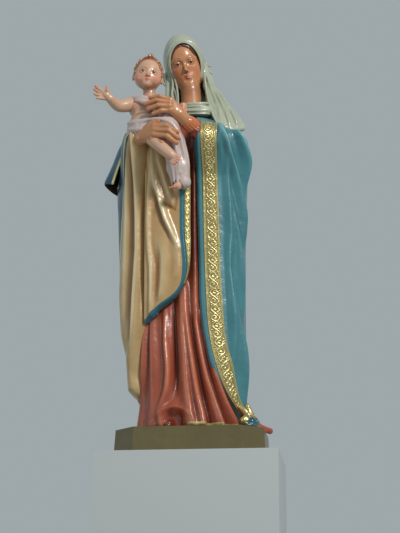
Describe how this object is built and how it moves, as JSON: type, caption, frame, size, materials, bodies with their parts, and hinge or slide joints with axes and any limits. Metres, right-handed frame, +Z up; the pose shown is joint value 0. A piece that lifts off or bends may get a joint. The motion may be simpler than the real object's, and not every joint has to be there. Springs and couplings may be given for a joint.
{
  "type": "madonna statue",
  "caption": "Standing robed mother in a long mantle and veil, carrying a small child on the right arm, on an octagonal plinth.",
  "frame": {"origin": "centre of the plinth's flat underside", "axes": "+Z up along the standing figure, -Y is the side the figure faces, +X is to the right of a person facing it"},
  "size_m": [0.468, 0.3474, 1.2197],
  "materials": {
    "plinth_paint": "olive bronze satin paint on cast plaster",
    "robe_paint": "terracotta red gloss enamel on cast plaster",
    "shoe_paint": "dark red gloss enamel on cast plaster",
    "mantle_paint": "teal blue gloss enamel on cast plaster",
    "lining_paint": "cream gold gloss enamel on cast plaster",
    "gilding": "gilt relief on cast plaster",
    "veil_paint": "pale grey-green cream satin enamel on cast plaster",
    "cuff_paint": "orange gloss enamel on cast plaster",
    "flesh_paint": "flesh gloss enamel on cast plaster",
    "child_flesh_paint": "pale flesh gloss enamel on cast plaster",
    "gown_paint": "pinkish white gloss enamel on cast plaster",
    "dark_hair_paint": "dark brown enamel on cast plaster",
    "child_hair_paint": "reddish brown enamel on cast plaster",
    "bare_plaster": "bare plaster and scrim",
    "eye_glass": "opal glass, painted iris",
    "timber": "planed softwood",
    "rod_iron": "mild steel, mill scale",
    "dowel_iron": "iron wire, lightly rusted",
    "screw_steel": "zinc plated steel"
  },
  "bodies": {
    "root": {"plinth": "plinth_paint", "recess_plug": "bare_plaster", "foot_screws": "screw_steel", "foot_blocks": "timber", "armature_post": "rod_iron", "post_nuts": "screw_steel", "post_washers": "screw_steel", "plaster_wads": "bare_plaster", "shoulder_bar": "rod_iron", "robe": "robe_paint", "shoe": "shoe_paint", "mantle": "mantle_paint", "mantle_border": "gilding", "mantle_lining_drape": "lining_paint", "lining_side_fall": "lining_paint", "drape_border": "gilding", "mantle_sleeve_fold": "mantle_paint", "mantle_hem_fold": "robe_paint", "collar": "veil_paint", "veil": "veil_paint", "veil_knot": "veil_paint", "left_sleeve": "robe_paint", "left_cuff": "cuff_paint", "right_sleeve": "robe_paint", "left_hand": "flesh_paint", "right_hand": "flesh_paint", "hand_dowels": "dowel_iron", "neck_dowel": "dowel_iron", "madonna_head": "flesh_paint", "madonna_hair_cap": "dark_hair_paint", "madonna_eyes": "eye_glass", "child_torso": "child_flesh_paint", "child_gown": "gown_paint", "child_neck_dowel": "dowel_iron", "child_head": "child_flesh_paint", "child_hair_cap": "child_hair_paint", "child_eyes": "eye_glass", "child_right_arm": "child_flesh_paint", "child_left_arm": "child_flesh_paint", "child_arm_dowels": "dowel_iron", "child_right_foot": "child_flesh_paint", "child_left_foot": "child_flesh_paint", "child_fixing_dowels": "dowel_iron"}
  },
  "joints": []
}
